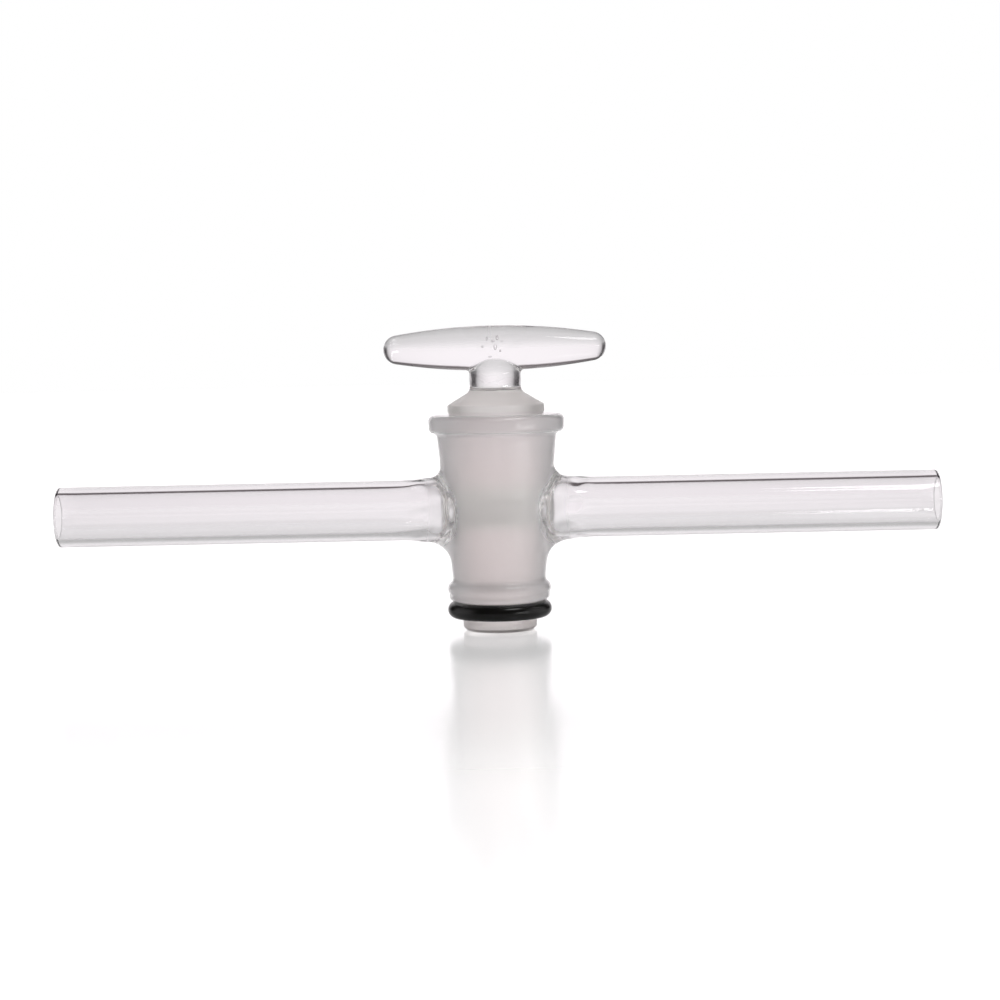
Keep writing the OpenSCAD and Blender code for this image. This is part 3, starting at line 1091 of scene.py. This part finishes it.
def makeFloor():
    bm = bmesh.new()
    bmesh.ops.create_grid(bm, x_segments=1, y_segments=1, size=stage["floorSize"] / 2)
    mesh = bpy.data.meshes.new("floor")
    bm.to_mesh(mesh)
    bm.free()
    floor = addObject("floor", mesh)
    material, nodes = newMaterial("paleFloor")
    mesh.materials.append(material)
    shader = newNode(nodes, "BsdfPrincipled", {
        "Base Color": stage["floorColour"], "Emission Color": (1, 1, 1, 1),
        "Roughness": stage["floorRoughness"], "IOR": stage["floorIor"],
        "Coat Weight": stage["floorCoat"], "Coat Roughness": stage["floorRoughness"],
    })
    path, either = seenByGlass(nodes)
    where = newNode(nodes, "TexCoord")
    distance, mask = lengthNode(nodes), groupNode(nodes, flagMask)
    far = easeNode(nodes, stage["flagNear"], stage["flagFar"])
    # painted shade of the flags on the floor far out, in the white added for what glass sees
    fade = newNode(nodes, "Mix", {"A": 1.0})
    eyeLevel = easeNode(nodes, stage["eyeFrom"], stage["eyeTo"], stage["eyeLift"], stage["eyeLiftOut"])
    eye = mathNode(nodes, "MULTIPLY")
    masked = mathNode(nodes, "MULTIPLY", second=stage["glassLift"])
    split, aside = newNode(nodes, "SeparateXYZ"), mathNode(nodes, "ABSOLUTE")
    # a painted pool of light on the floor near the object, for what glass sees
    close = easeNode(nodes, stage["nearFrom"], stage["nearTo"], 0.0, stage["nearLift"])
    beyond = easeNode(nodes, stage["nearGone"], stage["nearEnd"])
    near, both = mathNode(nodes, "MULTIPLY"), mathNode(nodes, "ADD")
    glassy, lift = mathNode(nodes, "MULTIPLY"), mathNode(nodes, "ADD")
    output = newNode(nodes, "OutputMaterial")
    plug(where, "Object", mask, "Place")
    plug(where, "Object", distance, 0)
    plug(distance, "Value", far, "Value")
    plug(far, "Result", fade, "Factor")
    plug(mask, "White", fade, "B")
    plug(path, "Is Camera Ray", eye, 0)
    plug(aside, 0, eyeLevel, "Value")
    plug(eyeLevel, "Result", eye, 1)
    plug(fade, "Result", masked, 0)
    plug(where, "Object", split, 0)
    plug(split, "Y", aside, 0)
    plug(aside, 0, close, "Value")
    plug(aside, 0, beyond, "Value")
    plug(close, "Result", near, 0)
    plug(beyond, "Result", near, 1)
    plug(masked, 0, both, 0)
    plug(near, 0, both, 1)
    plug(either, 0, glassy, 0)
    plug(both, 0, glassy, 1)
    plug(eye, 0, lift, 0)
    plug(glassy, 0, lift, 1)
    plug(lift, 0, shader, "Emission Strength")
    plug(shader, 0, output, "Surface")


def makeSurroundings():
    world = bpy.data.worlds.new("studio")
    bpy.context.scene.world = world
    world.use_nodes = True
    nodes = world.node_tree.nodes
    nodes.clear()
    where = newNode(nodes, "TexCoord")
    split = newNode(nodes, "SeparateXYZ")
    through = easeNode(nodes, stage["whiteEnd"], stage["whiteTo"])
    mirrored = easeNode(nodes, stage["mirrorEnd"], stage["mirrorTo"])
    behind = easeNode(nodes, stage["mirrorFront"], stage["mirrorSide"])
    mask = groupNode(nodes, flagMask)
    height, mirror = newNode(nodes, "Mix"), mathNode(nodes, "MULTIPLY")
    sky, colour = newNode(nodes, "Mix"), newNode(nodes, "Mix")
    sky.data_type = colour.data_type = "RGBA"
    sky.inputs["A"].default_value = stage["ceiling"]
    sky.inputs["B"].default_value = stage["backdrop"]
    colour.inputs["A"].default_value = stage["flagDark"]
    seenSky = newNode(nodes, "Background")
    plainSky = newNode(nodes, "Background", {"Color": stage["plainLight"]})
    white = newNode(nodes, "Background", {"Color": (1, 1, 1, 1)})
    path, either = seenByGlass(nodes)
    glassMix, eyeMix = newNode(nodes, "MixShader"), newNode(nodes, "MixShader")
    output = newNode(nodes, "OutputWorld")
    plug(where, "Generated", split, 0)
    plug(where, "Generated", mask, "Place")
    plug(split, "Z", through, "Value")
    plug(split, "Z", mirrored, "Value")
    plug(split, "Y", behind, "Value")
    plug(mirrored, "Result", mirror, 0)
    plug(behind, "Result", mirror, 1)
    plug(path, "Is Transmission Ray", height, "Factor")
    plug(mirror, 0, height, "A")
    plug(through, "Result", height, "B")
    plug(height, "Result", sky, "Factor")
    plug(sky, "Result", colour, "B")
    plug(mask, "White", colour, "Factor")
    plug(colour, "Result", seenSky, "Color")
    plug(either, 0, glassMix, "Fac")
    plug(plainSky, 0, glassMix, 1)
    plug(seenSky, 0, glassMix, 2)
    plug(path, "Is Camera Ray", eyeMix, "Fac")
    plug(glassMix, 0, eyeMix, 1)
    plug(white, 0, eyeMix, 2)
    plug(eyeMix, 0, output, "Surface")


lampTarget = Vector((0, 0, 0.03))
lamps = {
    "highLamp": {"bearing": 44, "height": 55, "distance": 0.9, "size": 0.4, "depth": 0.2, "power": 1.7},
    "lowLamp": {"bearing": 50, "height": 5, "distance": 0.9, "size": 0.5, "depth": 0.06, "power": 0.75},
}


def addLamp(name, bearing, height, distance, size, depth, power):
    # bearing is turned right from the camera's side, height is the angle above the floor
    lamp = bpy.data.lights.new(name, "AREA")
    lamp.shape = "RECTANGLE"
    lamp.size = size
    lamp.size_y = depth
    lamp.energy = power
    place = addObject(name, lamp)
    turned, up = radians(bearing), radians(height)
    direction = Vector((sin(turned) * cos(up), -cos(turned) * cos(up), sin(up)))
    place.location = lampTarget + direction * distance
    place.rotation_euler = direction.to_track_quat("Z", "Y").to_euler()


view = {
    "place": (0.45, -444.0, 56.5),
    "aim": (0.45, 0.0, 26.0),
    "lens": 80.0,
    "sensor": 36.0,
    "clipStart": 0.01,
    "lean": 1.2,  # degrees that the camera is rolled
}


def makeCamera():
    camera = bpy.data.cameras.new("camera")
    camera.lens = view["lens"]
    camera.sensor_width = view["sensor"]
    camera.clip_start = view["clipStart"]
    place = addObject("camera", camera)
    eye, aim = Vector(view["place"]) * mm, Vector(view["aim"]) * mm
    turned = (eye - aim).to_track_quat("Z", "Y").to_matrix()
    lean = Matrix.Rotation(radians(-view["lean"]), 3, "Z")
    place.location = eye
    place.rotation_euler = (turned @ lean).to_euler()
    bpy.context.scene.camera = place


flagMask = makeFlagMask()
turnedMarks = makeTurnedMarks()

makeCamera()
makeFloor()
makeSurroundings()
for name, values in lamps.items():
    addLamp(name, **values)
print("stage ready")

groundGlass = makeGroundGlass()
bodyGlass = makeBodyGlass()
handleGlass = makeHandleGlass()
blackRubber = makeRubber()
print("glass and rubber ready")

barrelPiece = makeBarrel(bodyGlass, groundGlass)
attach(barrelPiece, "barrel")
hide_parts("barrel")

keyPiece = makeKey(handleGlass, groundGlass)
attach(keyPiece, "key")
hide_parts("key")

ringPiece = makeRing(blackRubber)
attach(ringPiece, "key")
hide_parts("retaining_ring")

scene = bpy.context.scene
scene.view_settings.view_transform = "Standard"
# light crosses many walls of glass before it comes out
scene.cycles.transmission_bounces = 24
scene.cycles.max_bounces = 28
scene.cycles.transparent_max_bounces = 16
